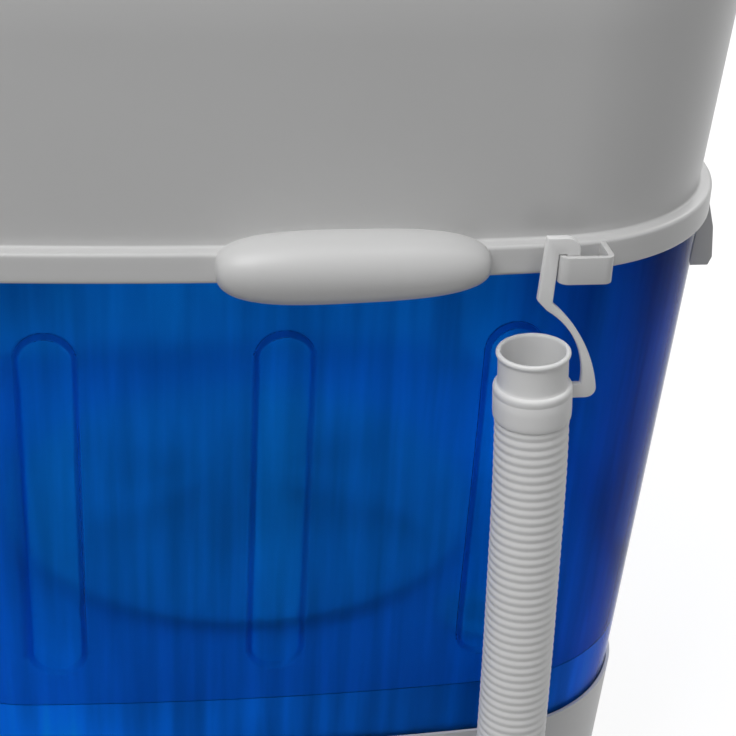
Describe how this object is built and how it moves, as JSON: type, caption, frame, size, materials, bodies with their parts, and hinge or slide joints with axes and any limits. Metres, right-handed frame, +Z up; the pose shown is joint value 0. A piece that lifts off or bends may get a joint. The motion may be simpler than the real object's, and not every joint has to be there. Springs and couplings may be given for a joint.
{
  "type": "mini washing machine",
  "caption": "Small single-tub washing machine: see-through blue tub with moulded flutes, white head with carry grips and knobs, hinged lid, belt-driven pulsator and hooked drain hose.",
  "frame": {"origin": "on the floor under the middle of the machine, where its feet stand", "axes": "+Z up, +X out of the right-hand side with the drain hose, -Y out of the front with the controls"},
  "size_m": [0.4103, 0.3682, 0.498],
  "materials": {
    "housing_white": "moulded white plastic, satin gloss",
    "tub_blue": "see-through blue plastic, polished",
    "lid_blue": "see-through blue plastic, polished",
    "seal_grey": "grey foam rubber",
    "steel": "plain steel",
    "rubber_black": "black rubber",
    "panel_grey": "pale grey moulded plastic",
    "knob_blue": "blue moulded plastic",
    "unit_cream": "cream moulded plastic",
    "hose_white": "soft white polyethylene",
    "pulsator_white": "white moulded plastic",
    "zinc_sheet": "zinc coated sheet",
    "cast_alloy": "die-cast alloy",
    "bronze": "sintered bronze",
    "pulley_black": "black glass-filled plastic",
    "motor_grey": "painted steel",
    "wire_black": "sleeved wires"
  },
  "bodies": {
    "cabinet": {"tub": "tub_blue", "rim_gasket": "seal_grey", "head_housing": "housing_white", "mouth_collar": "housing_white", "lid_hinge_pins": "steel", "lid_bumpers": "rubber_black", "control_panel": "panel_grey", "wash_timer": "unit_cream", "selector_switch": "unit_cream", "carry_handle_right": "housing_white", "carry_handle_left": "housing_white", "hose_pocket": "housing_white", "drain_hose": "hose_white", "hose_clamp": "steel", "drain_elbow": "hose_white", "drain_pipe": "hose_white", "drain_strainer": "pulsator_white", "base_housing": "housing_white", "base_plate": "zinc_sheet", "base_screws": "steel", "feet": "rubber_black", "bearing_housing": "cast_alloy", "lower_bush": "bronze", "upper_bush": "bronze", "shaft_seal": "rubber_black", "bearing_screws": "steel", "drive_belt": "rubber_black", "motor_body": "motor_grey", "motor_bracket": "zinc_sheet", "motor_grommets": "rubber_black", "motor_bolts": "steel", "capacitor": "unit_cream", "capacitor_clip": "zinc_sheet", "wire_conduit": "hose_white", "wiring_harness": "wire_black", "cord_gland": "rubber_black", "cord_hooks": "housing_white"},
    "lid": {"lid": "lid_blue"},
    "timer": {"timer_knob": "knob_blue", "timer_spindle": "steel"},
    "selector": {"selector_knob": "knob_blue", "selector_spindle": "steel"},
    "pulsator": {"pulsator": "pulsator_white", "pulsator_cap": "knob_blue", "drive_shaft": "steel", "driven_pulley": "pulley_black", "pulley_nut": "steel"},
    "motor_rotor": {"motor_shaft": "steel", "motor_pulley": "cast_alloy"},
    "hose_end": {"hose_end": "hose_white"}
  },
  "joints": [
    {"name": "lid_hinge", "type": "hinge", "parent": "cabinet", "child": "lid", "pos_m": [0, 0.1582, 0.4605], "axis": [-1, 0, 0], "range_deg": [0, 100]},
    {"name": "timer_turn", "type": "hinge", "parent": "cabinet", "child": "timer", "pos_m": [-0.062, -0.14305, 0.474], "axis": [0, 0.3074, -0.9516], "range_deg": [0, 300]},
    {"name": "selector_turn", "type": "hinge", "parent": "cabinet", "child": "selector", "pos_m": [0.062, -0.14305, 0.474], "axis": [0, 0.3074, -0.9516], "range_deg": [0, 90]},
    {"name": "pulsator_spin", "type": "hinge", "parent": "cabinet", "child": "pulsator", "pos_m": [0, 0, 0.147], "axis": [0, 0, 1], "continuous": true},
    {"name": "motor_spin", "type": "hinge", "parent": "cabinet", "child": "motor_rotor", "pos_m": [-0.088, -0.072, 0.06], "axis": [0, 0, 1], "continuous": true},
    {"name": "hose_lift", "type": "slide", "parent": "cabinet", "child": "hose_end", "axis": [0, 0, 1], "range_m": [0, 0.008], "deforming": ["drain_hose"]}
  ],
  "couplings": [
    {"joint": "motor_spin", "follows": "pulsator_spin", "ratio": 3.3333}
  ]
}
